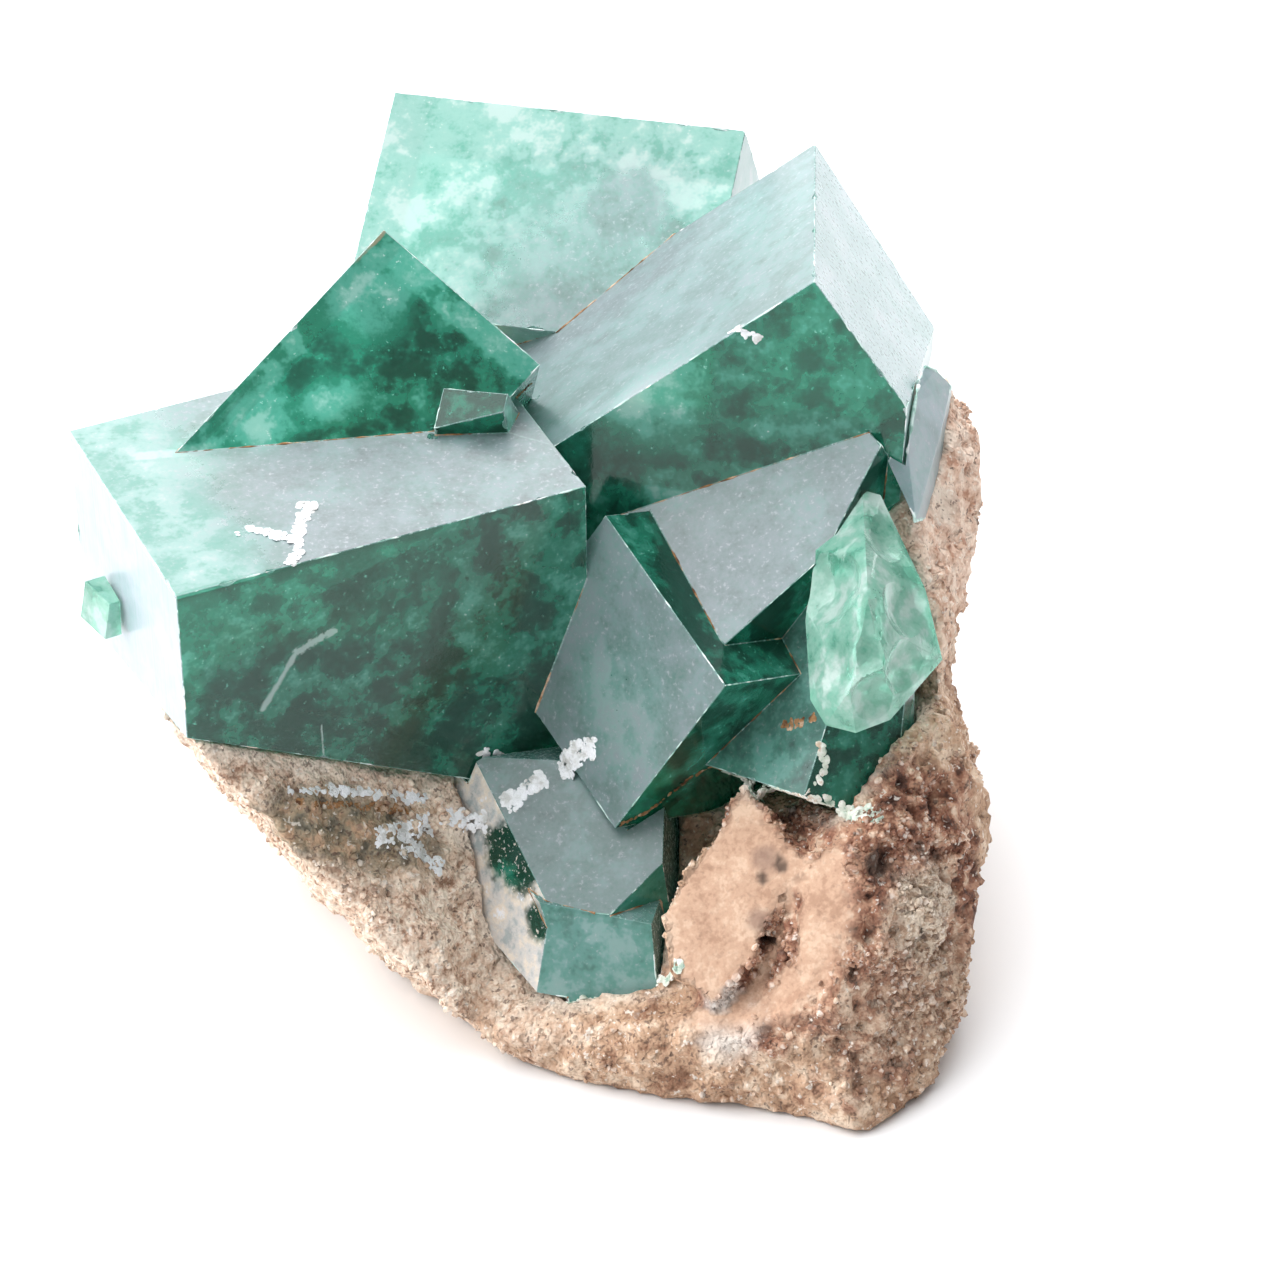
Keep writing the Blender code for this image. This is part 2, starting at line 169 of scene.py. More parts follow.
class Sheet:
    """The node tree of one finish."""

    def __init__(self, tree):
        self.tree = tree
        self.known = {}                    # surface points already worked out, by their point and turn
        tree.nodes.clear()

    def node(self, kind, settings=None, inputs=None, output=0):
        made = self.tree.nodes.new(kind)
        for key, value in (settings or {}).items():
            setattr(made, key, value)
        for key, value in (inputs or {}).items():
            socket = made.inputs[key]
            if isinstance(value, Wire):
                self.tree.links.new(value.socket, socket)
            else:
                socket.default_value = value
        return Wire(self, made.outputs[output])

    def vector(self, operation, first, second):
        return self.node("ShaderNodeVectorMath", {"operation": operation}, {0: first, 1: second})

    def from_datum(self, point=(0.0, 0.0, 0.0), turn=(0.0, 0.0, 0.0), scale=(1.0, 1.0, 1.0)):
        """The surface point in millimetres from a point of the tables, in the turned axes of a piece there."""
        key = (tuple(point), tuple(turn))
        if key not in self.known:
            if not any(point) and not any(turn):
                here = self.node("ShaderNodeTexCoord", output="Object")
                made = self.vector("MULTIPLY", self.vector("SUBTRACT", here, tuple(DATUM * MM)), (1.0 / MM,) * 3)
            else:
                made = self.vector("SUBTRACT", self.from_datum(), tuple(point))
            if any(turn):
                made = self.node("ShaderNodeVectorRotate", {"rotation_type": "EULER_XYZ", "invert": True}, {
                    "Vector": made, "Center": (0.0, 0.0, 0.0), "Rotation": tuple(math.radians(a) for a in turn)})
            self.known[key] = made
        plain = self.known[key]
        return plain if scale == (1.0, 1.0, 1.0) else self.vector("MULTIPLY", plain, tuple(scale))

    def parts(self, vector):
        split = self.node("ShaderNodeSeparateXYZ", {}, {0: vector})
        return [split, split.other(1), split.other(2)]

    def noise(self, size, detail=3.0, rough=0.55, distort=0.0, at=None, shift=0.0):
        """Solid noise from 0 to 1 whose lumps are about size millimetres."""
        moved = at or self.from_datum()
        if shift:
            moved = self.vector("ADD", moved, (shift, shift * 0.7, shift * 1.3))
        return self.node("ShaderNodeTexNoise", {}, {
            "Vector": moved, "Scale": 1.0 / size, "Detail": detail, "Roughness": rough, "Distortion": distort})

    def near(self, point, radius, soft=0.4, ragged=None, stretch=(1.0, 1.0, 1.0), turn=(0.0, 0.0, 0.0)):
        """1 round a point of the tables, 0 beyond the radius, with a ragged rim."""
        if any(turn) or stretch != (1.0, 1.0, 1.0):
            away = self.node("ShaderNodeVectorMath", {"operation": "LENGTH"}, {
                0: self.from_datum(point, turn, tuple(1.0 / s for s in stretch))}, output="Value")
        else:
            away = self.node("ShaderNodeVectorMath", {"operation": "DISTANCE"}, {
                0: self.from_datum(), 1: tuple(point)}, output="Value")
        shift = 0.0
        if ragged is not None:
            away = away.maths("MULTIPLY_ADD", ragged, radius * 1.2, away)
            shift = radius * 0.6
        return away.step(radius * (1 + soft) + shift, radius * (1 - soft) + shift)

    def along(self, start, end, width, ragged):
        """1 near the line between two points of the tables, 0 beyond the width, broken up a little."""
        line = Vector(end) - Vector(start)
        here = self.from_datum(start)
        share = self.node("ShaderNodeVectorMath", {"operation": "DOT_PRODUCT"}, {
            0: here, 1: tuple(line / line.length_squared)}, output="Value")
        run = self.node("ShaderNodeMath", {"operation": "ADD", "use_clamp": True}, {0: share, 1: 0.0})
        nearest = self.node("ShaderNodeVectorMath", {"operation": "SCALE"}, {0: tuple(line), "Scale": run})
        away = self.node("ShaderNodeVectorMath", {"operation": "DISTANCE"}, {0: here, 1: nearest}, output="Value")
        return away.maths("MULTIPLY_ADD", ragged, width * 3.0, away).step(width * 3.0, width * 2.0)

    def mix(self, share, first, second):
        made = self.tree.nodes.new("ShaderNodeMix")
        made.data_type = "RGBA"
        for index, value in ((0, share), (6, first), (7, second)):
            if isinstance(value, Wire):
                self.tree.links.new(value.socket, made.inputs[index])
            else:
                made.inputs[index].default_value = value if index == 0 else (*value, 1.0)
        return Wire(self, made.outputs[2])

    def shades(self, value, *stops):
        """Colour from a value by stops of (value, colour)."""
        colour = stops[0][1]
        for (low, _), (high, shade) in zip(stops, stops[1:]):
            colour = self.mix(value.step(low, high), colour, shade)
        return colour

    def attribute(self, name, output="Fac"):
        return self.node("ShaderNodeAttribute", {"attribute_name": name}, output=output)

    def bump(self, height, distance, strength=1.0):
        """Relief of distance millimetres."""
        return self.node("ShaderNodeBump", {}, {"Strength": strength, "Distance": distance * MM, "Height": height})

    def shader(self, **inputs):
        names = {key: key.replace("_", " ").title().replace("Ior", "IOR") for key in inputs}
        return self.node("ShaderNodeBsdfPrincipled", {}, {names[key]: value for key, value in inputs.items()})

    def over(self, share, below, above):
        return self.node("ShaderNodeMixShader", {}, {0: share, 1: below, 2: above})

    def finish(self, shader, inside=None):
        """Puts the shader on the output; inside is the colour and density of what a clear body takes out."""
        output = self.tree.nodes.new("ShaderNodeOutputMaterial")
        self.tree.links.new(shader.socket, output.inputs["Surface"])
        if inside:
            body = self.node("ShaderNodeVolumeAbsorption", {}, {"Color": (*inside[0], 1.0), "Density": inside[1]})
            self.tree.links.new(body.socket, output.inputs["Volume"])


def new_finish(name):
    material = bpy.data.materials.new(name)
    material.use_nodes = True
    return material, Sheet(material.node_tree)


def set_light():
    """A soft bright dome behind, above and to the left, and a dim front."""
    world = bpy.data.worlds.new("Studio")
    world.use_nodes = True
    bpy.context.scene.world = world
    sheet = Sheet(world.node_tree)
    x, y, z = sheet.parts(sheet.node("ShaderNodeTexCoord", output="Generated"))
    toward_window = (z * 0.58 + y * 0.55 - x * 0.62).step(0.06, 0.85)
    low_at_back = y.step(0.35, 0.8) * z.step(0.5, 0.05)
    glow = sheet.node("ShaderNodeBackground", {}, {
        "Color": (0.97, 0.98, 1.0, 1.0), "Strength": toward_window * (1.0 - low_at_back * 0.85) * 4.1 + 0.34})
    out = sheet.tree.nodes.new("ShaderNodeOutputWorld")
    sheet.tree.links.new(glow.socket, out.inputs["Surface"])


def floor_finish():
    material, sheet = new_finish("Studio_Floor")
    grey = sheet.noise(60.0) * 0.02
    sheet.finish(sheet.shader(base_color=sheet.mix(grey, (0.86, 0.86, 0.86), (0.80, 0.80, 0.81)), roughness=0.7))
    return material


def lay_floor():
    bm = bmesh.new()
    bmesh.ops.create_grid(bm, x_segments=1, y_segments=1, size=4.0)
    mesh = bpy.data.meshes.new("Studio_Floor")
    bm.to_mesh(mesh)
    bm.free()
    mesh.transform(Matrix.Translation((0.0, 0.0, -0.0002)))
    floor = bpy.data.objects.new("Studio_Floor", mesh)
    floor.data.materials.append(floor_finish())
    bpy.context.scene.collection.objects.link(floor)


# Pieces

def new_piece(name, bm):
    mesh = bpy.data.meshes.new(name)
    bm.to_mesh(mesh)
    bm.free()
    piece = bpy.data.objects.new(name, mesh)
    bpy.context.scene.collection.objects.link(piece)
    return piece


def merged_copy(node, name):
    """A piece that starts as the solid's own shape, with its loose triangles joined."""
    bm = bmesh.new()
    bm.from_mesh(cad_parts[node].data)
    bmesh.ops.remove_doubles(bm, verts=bm.verts[:], dist=1e-6)
    return new_piece(name, bm)


def settle(piece):
    """Turns the piece's live modifiers into plain mesh."""
    graph = bpy.context.evaluated_depsgraph_get()
    graph.update()
    mesh = bpy.data.meshes.new_from_object(piece.evaluated_get(graph))
    piece.modifiers.clear()
    piece.data = mesh


def dress(piece, material, node=None):
    piece.data.materials.clear()
    piece.data.materials.append(material)
    piece.data.polygons.foreach_set("material_index", [0] * len(piece.data.polygons))
    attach(piece, "root")
    if node:
        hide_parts(node)


def space_of(*meshes):
    """Nearest-point search on the meshes."""
    bm = bmesh.new()
    for mesh in meshes:
        bm.from_mesh(mesh)
    tree = BVHTree.FromBMesh(bm)
    bm.free()
    return tree


def carve(piece, bm):
    """Takes the lumps out of the piece."""
    tool = new_piece("Tool", bm)
    cut = piece.modifiers.new("Chips", "BOOLEAN")
    cut.operation = "DIFFERENCE"
    cut.solver = "EXACT"
    cut.object = tool
    settle(piece)
    bpy.data.objects.remove(tool, do_unlink=True)


class Recipe(Sheet):
    """A Geometry Nodes tree with named inputs."""

    def __init__(self, name):
        super().__init__(bpy.data.node_groups.new(name, "GeometryNodeTree"))
        for way in ("INPUT", "OUTPUT"):
            self.tree.interface.new_socket("Geometry", in_out=way, socket_type="NodeSocketGeometry")
        self.start = self.tree.nodes.new("NodeGroupInput")

    def ask(self, name, kind="Float"):
        self.tree.interface.new_socket(name, in_out="INPUT", socket_type="NodeSocket" + kind)
        return Wire(self, self.start.outputs[name])

    def chance(self, seed, low=0.0, high=1.0):
        return self.node("FunctionNodeRandomValue", {"data_type": "FLOAT"}, {2: low, 3: high, 8: seed}, output=1)

    def join(self, x, y, z):
        return self.node("ShaderNodeCombineXYZ", {}, {0: x, 1: y, 2: z})

    def give(self, shape, material):
        plain = self.node("GeometryNodeRealizeInstances", {}, {0: shape})
        dressed = self.node("GeometryNodeSetMaterial", {}, {0: plain, "Material": material})
        end = self.tree.nodes.new("NodeGroupOutput")
        self.tree.links.new(dressed.socket, end.inputs[0])

    def run(self, piece, **values):
        """Runs on the piece's mesh and keeps the result as plain mesh."""
        live = piece.modifiers.new("Recipe", "NODES")
        live.node_group = self.tree
        for item in self.tree.interface.items_tree:
            key = item.name.lower().replace(" ", "_")
            if item.in_out == "INPUT" and key in values:
                live[item.identifier] = values[key]
        settle(piece)


def lumps_recipe():
    """Small uneven lumps strewn over faces, as many as the faces' grain_share asks for."""
    r = Recipe("Lumps_On_Surface")
    density, smallest, largest = r.ask("Density"), r.ask("Smallest"), r.ask("Largest")
    flatness, tumble = r.ask("Flatness"), r.ask("Tumble")
    rounding, seed, material = r.ask("Rounding", "Int"), r.ask("Seed", "Int"), r.ask("Material", "Material")
    share = r.node("GeometryNodeInputNamedAttribute", {"data_type": "FLOAT"}, {"Name": "grain_share"})
    points = r.node("GeometryNodeDistributePointsOnFaces", {"distribute_method": "RANDOM"}, {
        "Mesh": Wire(r, r.start.outputs[0]), "Density": share * density, "Seed": seed})
    ball = r.node("GeometryNodeMeshIcoSphere", {}, {"Radius": 1.0, "Subdivisions": rounding})
    knocks = r.node("ShaderNodeTexNoise", {}, {"Scale": 1.1, "Detail": 1.0}, output="Color")
    uneven = r.vector("SUBTRACT", knocks, (0.5, 0.5, 0.5))
    lump = r.node("GeometryNodeSetPosition", {}, {"Geometry": ball, "Offset": uneven})
    spin = r.join(r.chance(seed + 1, tumble * -1.0, tumble), r.chance(seed + 2, tumble * -1.0, tumble),
                  r.chance(seed + 3, 0.0, 2 * math.pi))
    turned = r.node("FunctionNodeRotateRotation", {"rotation_space": "LOCAL"}, {
        "Rotation": points.other("Rotation"), "Rotate By": r.node("FunctionNodeEulerToRotation", {}, {0: spin})})
    pick = r.chance(seed + 4)
    size = smallest + (largest - smallest) * (pick * pick)
    scale = r.join(size * r.chance(seed + 5, 0.7, 1.3), size * r.chance(seed + 6, 0.7, 1.3), size * flatness)
    strewn = r.node("GeometryNodeInstanceOnPoints", {}, {
        "Points": points, "Instance": lump, "Rotation": turned, "Scale": scale})
    r.give(strewn, material)
    return r


def lines_recipe():
    """A thin uneven bead along edges, thick in some stretches and sunk away in others."""
    r = Recipe("Bead_Along_Edges")
    thickness, stretch, waver = r.ask("Thickness"), r.ask("Stretch"), r.ask("Waver")
    least, material = r.ask("Least"), r.ask("Material", "Material")
    curve = r.node("GeometryNodeMeshToCurve", {}, {"Mesh": Wire(r, r.start.outputs[0])})
    fine = r.node("GeometryNodeResampleCurve", {"mode": "LENGTH"}, {"Curve": curve, "Length": 0.35 * MM})
    spot = r.node("GeometryNodeInputPosition")
    patch = r.node("ShaderNodeTexNoise", {}, {"Vector": spot, "Scale": stretch, "Detail": 3.0, "Roughness": 0.7})
    shake = r.node("ShaderNodeTexNoise", {}, {"Vector": spot, "Scale": 1.0 / MM, "Detail": 1.0}, output="Color")
    offset = r.node("ShaderNodeVectorMath", {"operation": "SCALE"}, {
        0: r.vector("SUBTRACT", shake, (0.5, 0.5, 0.5)), "Scale": waver})
    moved = r.node("GeometryNodeSetPosition", {}, {"Geometry": fine, "Offset": offset})
    profile = r.node("GeometryNodeCurvePrimitiveCircle", {}, {"Resolution": 5, "Radius": 1.0})
    bead = r.node("GeometryNodeCurveToMesh", {}, {
        "Curve": moved, "Profile Curve": profile, "Fill Caps": True,
        "Scale": thickness * (least + patch.step(0.42, 0.68))})
    r.give(bead, material)
    return r


# Rock

ROCK_SKIN = 0.75 * MM
PORES = (34.0, -11.0, 14.0)               # middle of the porous red-brown area
TAN_FACE = (20.5, -9.5, 13.5)
TAN_FACING = (-0.2, -0.75, 0.63)
BLACK_PIT = (36.0, -10.6, 19.6)
PALE_KNOB = (41.0, -10.0, 12.5)
LEFT_FLANK = (-22.0, -2.0, 12.0)


def ramp(value, low, high):
    t = min(1.0, max(0.0, (value - low) / (high - low)))
    return t * t * (3 - 2 * t)


def rock_marks(point, normal):
    """At a point of the tables: how far the rock stands out in millimetres, how porous it is, how smooth
    and how deep in a pit."""
    p = Vector(point)
    warp = Vector((noise.noise(p / 5.0), noise.noise(p / 5.0 + Vector((7, 7, 7))), noise.noise(p / 5.0 + Vector((3, 1, 9)))))
    q = p + warp * 2.0
    lumps = noise.noise(p / 8.0) * 0.6 + noise.noise(q / 3.4 + Vector((9, 2, 4))) * 0.6
    grit = noise.noise(q / 2.1) * 0.6 + noise.noise(q / 1.2 + Vector((5, 5, 1))) * 0.5
    porous = ramp((p - Vector(PORES)).length + warp.x * 5.0, 21.0, 13.0)
    cell, _ = noise.voronoi(q / 3.6)
    hole = ramp(cell[0], 0.5, 0.12) * ramp(noise.noise(p / 7.0 + Vector((3, 8, 1))), -0.2, 0.15)
    small, _ = noise.voronoi(q / 1.9 + Vector((4, 1, 7)))
    pore = ramp(small[0], 0.45, 0.1)
    black = ramp(((p - Vector(BLACK_PIT)) * 1.0).length, 3.4, 1.6)
    smooth = ramp((p - Vector(TAN_FACE)).length, 14.5, 11.5) * ramp(
        Vector(normal).dot(Vector(TAN_FACING).normalized()), 0.80, 0.93)
    pit = porous * max(hole, 0.45 * pore)
    rise = lumps + grit - porous * (1.9 * hole + 0.8 * pore) - (1 - porous) * 0.35 * pore - 1.6 * black
    return rise * (1 - 0.93 * smooth), porous, smooth, max(pit, black)


def build_rock(crystals):
    """The rock's solid on a fine skin with lumps, grit, pits and pores, and marks for its colours."""
    rock = merged_copy("Matrix_Rock", "Rock")
    skin = rock.modifiers.new("Skin", "REMESH")
    skin.mode = "VOXEL"
    skin.voxel_size = ROCK_SKIN
    settle(rock)
    mesh = rock.data
    rows = []
    for vert, normal in zip(mesh.vertices, [v.normal.copy() for v in mesh.vertices]):
        rise, porous, smooth, pit = rock_marks(vert.co / MM - DATUM, normal)
        clear = crystals.find_nearest(vert.co)[3] / MM
        room = ramp(clear, 0.3, 1.5) * ramp(vert.co.z / MM, 0.0, 1.5)
        rows.append((normal * rise * room * MM, porous, smooth, pit, ramp(clear, 3.0, 0.5)))
    for vert, row in zip(mesh.vertices, rows):
        vert.co += row[0]
        vert.co.z = max(vert.co.z, 0.0)
    for column, name in enumerate(("porous", "smooth", "pit", "rim"), 1):
        values = mesh.attributes.new(name, "FLOAT", "POINT").data
        values.foreach_set("value", [row[column] for row in rows])
    share = mesh.attributes.new("grain_share", "FLOAT", "POINT").data
    share.foreach_set("value", [
        (0.35 + 0.65 * row[1]) * (1 - row[2]) * (1 - row[3]) * ramp(vert.co.z / MM, 0.2, 1.0) * (1 - 0.7 * row[4])
        * ramp(noise.noise(vert.co / (6 * MM)), -0.3, 0.35)
        for row, vert in zip(rows, mesh.vertices)])
    mesh.shade_smooth()
    return rock


def rock_colours(sheet, fine):
    """Tan, beige, brown and pink areas of the rock with their specks, and painted shade in the pits."""
    rag = sheet.noise(4.0, detail=3.0)
    broad = sheet.noise(9.0, detail=2.0, shift=11.0)
    middling = sheet.noise(2.2, detail=3.0, rough=0.65, shift=5.0)
    porous, smooth = sheet.attribute("porous"), sheet.attribute("smooth")
    pit, rim = sheet.attribute("pit"), sheet.attribute("rim")
    tan = sheet.shades(broad * 0.4 + middling * 0.6, (0.36, (0.26, 0.13, 0.075)), (0.48, (0.54, 0.34, 0.22)), (0.60, (0.78, 0.60, 0.45)))
    beige = sheet.shades(fine * 0.5 + middling * 0.5, (0.38, (0.40, 0.24, 0.16)), (0.46, (0.72, 0.53, 0.40)), (0.58, (0.90, 0.76, 0.62)))
    brown = sheet.shades(middling, (0.34, (0.085, 0.035, 0.022)), (0.44, (0.26, 0.11, 0.065)), (0.54, (0.46, 0.25, 0.16)), (0.66, (0.74, 0.55, 0.41)))
    pink = sheet.shades(middling, (0.36, (0.46, 0.25, 0.165)), (0.46, (0.70, 0.48, 0.36)), (0.6, (0.86, 0.68, 0.55)))
    colour = sheet.mix(sheet.near(LEFT_FLANK, 26.0, ragged=rag), tan, beige)
    colour = sheet.mix(sheet.near((46.0, 26.0, 40.0), 17.0, ragged=rag), colour, pink)
    colour = sheet.mix((porous + (rag - 0.5) * 1.2).step(0.3, 0.7), colour, brown)
    knob = sheet.near(PALE_KNOB, 5.5, ragged=rag)
    colour = sheet.mix(knob * 0.85, colour, sheet.shades(fine, (0.4, (0.42, 0.31, 0.22)), (0.55, (0.68, 0.58, 0.46))))
    band = sheet.near((-18.0, -2.5, 17.5), 4.6, ragged=rag, stretch=(2.6, 1.0, 1.0), turn=(0.0, 20.0, 18.0))
    colour = sheet.mix(band * 0.85, colour, sheet.shades(
        middling, (0.38, (0.10, 0.105, 0.075)), (0.5, (0.26, 0.20, 0.12)), (0.62, (0.42, 0.25, 0.14))))
    patch = sheet.near((20.6, -17.2, 4.4), 3.2, ragged=rag, stretch=(1.0, 1.0, 1.4))
    colour = sheet.mix(patch * 0.8, colour, (0.78, 0.72, 0.66))
    lower = sheet.near((38.0, -12.0, 3.0), 9.0, ragged=rag, stretch=(1.4, 1.0, 0.7))
    colour = sheet.mix(lower * 0.55, colour, sheet.shades(fine, (0.4, (0.36, 0.22, 0.14)), (0.6, (0.70, 0.56, 0.42))))
    face = sheet.shades(rag * 0.6 + fine * 0.4, (0.38, (0.42, 0.25, 0.165)),
                        (0.5, (0.55, 0.35, 0.24)), (0.62, (0.66, 0.46, 0.33)))
    smudge = sheet.near((24.4, -7.4, 17.0), 1.6, ragged=rag).most(sheet.near((23.6, -11.6, 12.6), 1.5, ragged=rag))
    face = sheet.mix(smudge * 0.6, face, (0.22, 0.14, 0.11))
    colour = sheet.mix(smooth, colour, face)
    colour = sheet.mix(rim * rag.step(0.35, 0.6) * 0.75, colour, (0.70, 0.60, 0.50))
    colour = sheet.mix((broad * 0.4 + middling * 0.6).step(0.60, 0.68) * (1.0 - smooth) * 0.5, colour, (0.25, 0.10, 0.04))
    specks = sheet.noise(0.9, detail=2.0, rough=0.7, shift=41.0)
    colour = sheet.mix(specks.step(0.60, 0.68) * (1.0 - smooth * 0.8) * 0.7, colour, (0.10, 0.06, 0.045))
    colour = sheet.mix(specks.step(0.38, 0.31) * (1.0 - smooth) * 0.75, colour, (0.86, 0.78, 0.69))
    # painted shade: darker deep in the pits
    return sheet.mix(pit.step(0.35, 1.0) * 0.85, colour, (0.035, 0.02, 0.015))


def rock_finish():
    material, sheet = new_finish("Porous_Tan_Rock")
    fine = sheet.noise(0.8, detail=2.0, rough=0.7, shift=3.0)
    smooth = sheet.attribute("smooth")
    grit = sheet.noise(1.3, detail=2.0, rough=0.7, shift=61.0)
    height = grit * (1.0 - smooth * 0.8)
    sheet.finish(sheet.shader(base_color=rock_colours(sheet, fine), roughness=fine * 0.15 + 0.8,
                              normal=sheet.bump(height, 1.3, 1.0)))
    return material


def grain_finish():
    material, sheet = new_finish("Rock_Grain")
    pick = sheet.noise(1.1, detail=1.0, rough=0.8, shift=13.0)
    rock_colour = rock_colours(sheet, sheet.noise(0.8, detail=2.0, rough=0.7, shift=3.0))
    colour = sheet.mix(pick.step(0.52, 0.70) * 0.55, rock_colour, (0.84, 0.76, 0.68))
    colour = sheet.mix(pick.step(0.46, 0.34) * 0.6, colour, (0.14, 0.075, 0.05))
    sheet.finish(sheet.shader(base_color=colour, roughness=pick * 0.3 + 0.5,
                              normal=sheet.bump(sheet.noise(0.2, detail=1.0), 0.1, 0.6)))
    return material


# Crystals

EDGE_WEAR = 0.2 * MM


def face_planes(crystal):
    """Point, facing, look and crust of a crystal's six faces."""
    axes = Euler([math.radians(a) for a in crystal["turn"]], "XYZ").to_matrix()
    planes = []
    for k, (length, look) in enumerate(zip(crystal["edges"], crystal["looks"])):
        facing = axes.col[k] * (-1.0 if length > 0 else 1.0)
        far = Vector(crystal["corner"]) + axes.col[k] * length
        planes += [(crystal["corner"], facing, look, 0.0), (far, -facing, HIDDEN_LOOK, 0.0)]
    return planes


def mark_faces(mesh, plain=WORN_AND_HIGHLIT_LOOK):
    """Gives each face the look of the crystal face that it is part of."""
    planes = list(BROKEN_FACES)
    for crystal in CRYSTALS.values():
        planes += face_planes(crystal)
    planes = [(place(p), Vector(n).normalized(), look, crust) for p, n, look, crust in planes]
    looks, crusts = [], []
    for polygon in mesh.polygons:
        found = [row for row in planes if polygon.normal.dot(row[1]) > 0.9995
                 and abs((polygon.center - row[0]).dot(row[1])) < 0.25 * MM]
        looks += found[0][2] if found else plain
        crusts.append(found[0][3] if found else 0.0)
    mesh.attributes.new("face_look", "FLOAT_VECTOR", "FACE").data.foreach_set("vector", looks)
    mesh.attributes.new("crust", "FLOAT", "FACE").data.foreach_set("value", crusts)


def faceted(node):
    """The solid's shape with its flat faces whole."""
    bm = bmesh.new()
    bm.from_mesh(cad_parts[node].data)
    bmesh.ops.remove_doubles(bm, verts=bm.verts[:], dist=1e-6)
    bmesh.ops.dissolve_limit(bm, angle_limit=math.radians(1.0), verts=bm.verts[:], edges=bm.edges[:])
    return bm


def edges_of(node):
    """The ends of the outward edges and of the seams where crystals meet, with an outward direction."""
    bm = faceted(node)
    outward, seams = [], []
    for edge in bm.edges:
        if len(edge.link_faces) == 2 and edge.calc_length() > 0.4 * MM:
            bend = edge.calc_face_angle_signed()
            out = (edge.link_faces[0].normal + edge.link_faces[1].normal).normalized()
            row = (edge.verts[0].co.copy(), edge.verts[1].co.copy(), out)
            if bend > math.radians(25.0):
                outward.append(row)
            elif bend < math.radians(-10.0):
                seams.append(row)
    bm.free()
    return outward, seams


def worn_crystal(node, name, wear=EDGE_WEAR):
    """The solid's shape with its edges a little worn."""
    piece = new_piece(name, faceted(node))
    worn = piece.modifiers.new("Worn_Edges", "BEVEL")
    worn.width = wear
    worn.segments = 2
    worn.limit_method = "ANGLE"
    worn.angle_limit = math.radians(20.0)
    worn.use_clamp_overlap = True
    settle(piece)
    piece.data.shade_flat()
    return piece


def add_lump(bm, at, size, chance, rounding=2, along=None):
    """A broken-edged lump of the given size, longer along a direction."""
    made = bmesh.ops.create_icosphere(bm, subdivisions=rounding, radius=1.0)["verts"]
    turn = (along or Vector((0, 0, 1))).to_track_quat("X", "Z").to_matrix() @ Euler((chance.uniform(0, 6.3), 0, 0)).to_matrix()
    for vert in made:
        knock = 1.0 + noise.noise(vert.co * 1.3 + at * 900.0) * 0.5
        vert.co = at + turn @ (Vector((vert.co.x * 1.6, vert.co.y, vert.co.z)) * size * knock)


CHIPPED = {"front": 1.0, "right": 1.4, "rear": 1.6, "tilted": 1.0, "middle": 0.25, "stepped": 0.25, "foot": 0.4}
KNOCKED_CORNERS = [                        # point, outward direction and size of the knock
    ((23.0, 69.0, 60.5), (0.75, 0.35, 0.55), 2.6),
    ((30.2, 60.6, 63.2), (0.1, 0.5, 0.85), 1.6),
    ((28.9, 21.4, 67.9), (0.2, -0.3, 0.9), 0.9),
    ((39.2, 20.5, 53.0), (0.9, -0.2, 0.4), 2.2),
]


def chip_edges(piece, edges, chance):
    """Knocked corners, and small bites along the outward edges."""
    for point, facing, size in KNOCKED_CORNERS:
        bm = bmesh.new()
        facing = Vector(facing).normalized()
        middle = place(point) + facing * (size * 0.62 * MM)
        frame_turn = facing.to_track_quat("Z", "Y").to_matrix().to_4x4()
        bmesh.ops.create_cube(bm, size=size * 1.4 * MM, matrix=Matrix.Translation(middle) @ frame_turn)
        carve(piece, bm)
    bm = bmesh.new()
    bites = []
    for a, b, out in edges:
        middle = (a + b) / 2 / MM - DATUM
        name = min(CRYSTALS, key=lambda n: (Vector(CRYSTALS[n]["corner"]) - middle).length)
        for _ in range(round((b - a).length / MM * 0.22 * CHIPPED[name] + chance.random())):
            size = (0.18 + 0.75 * chance.random() ** 3) * MM
            at = a.lerp(b, chance.random()) + out * size * 0.55
            if all((at - other).length > (size + reach) * 2.5 for other, reach in bites):
                bites.append((at, size))
                add_lump(bm, at, size, chance, along=(b - a).normalized())
    carve(piece, bm)


PALE_SCOOPS = [                            # point, facing, radius and depth of the shell-like breaks
    ((38.2, 1.5, 42.6), (0.75, -0.4, 0.5), 7.0, 1.3),
    ((38.4, -3.0, 37.6), (0.6, -0.7, 0.35), 5.0, 1.1),
    ((30.8, -4.0, 38.4), (-0.75, -0.5, 0.45), 6.5, 0.8),
    ((31.0, 3.5, 42.8), (-0.75, -0.25, 0.6), 9.0, 0.9),
    ((33.6, -6.0, 41.0), (-0.1, -0.85, 0.5), 3.2, 0.9),
    ((36.4, 8.6, 45.6), (0.5, -0.2, 0.85), 6.0, 0.9),
    ((35.6, -6.2, 36.2), (0.1, -0.95, 0.2), 4.0, 0.8),
]


def scoop_out(piece, scoops):
    """Shell-like hollows with sharp rims between them."""
    for point, facing, radius, depth in scoops:
        bm = bmesh.new()
        middle = place(point) + Vector(facing).normalized() * (radius - depth) * MM
        for vert in bmesh.ops.create_icosphere(bm, subdivisions=4, radius=radius * MM)["verts"]:
            ripple = 1.0 + 0.015 * math.sin(vert.co.x / MM * 2.2 + vert.co.z / MM)
            vert.co = middle + vert.co * ripple
        carve(piece, bm)
    piece.data.shade_smooth()
    piece.data.set_sharp_from_angle(angle=math.radians(24.0))


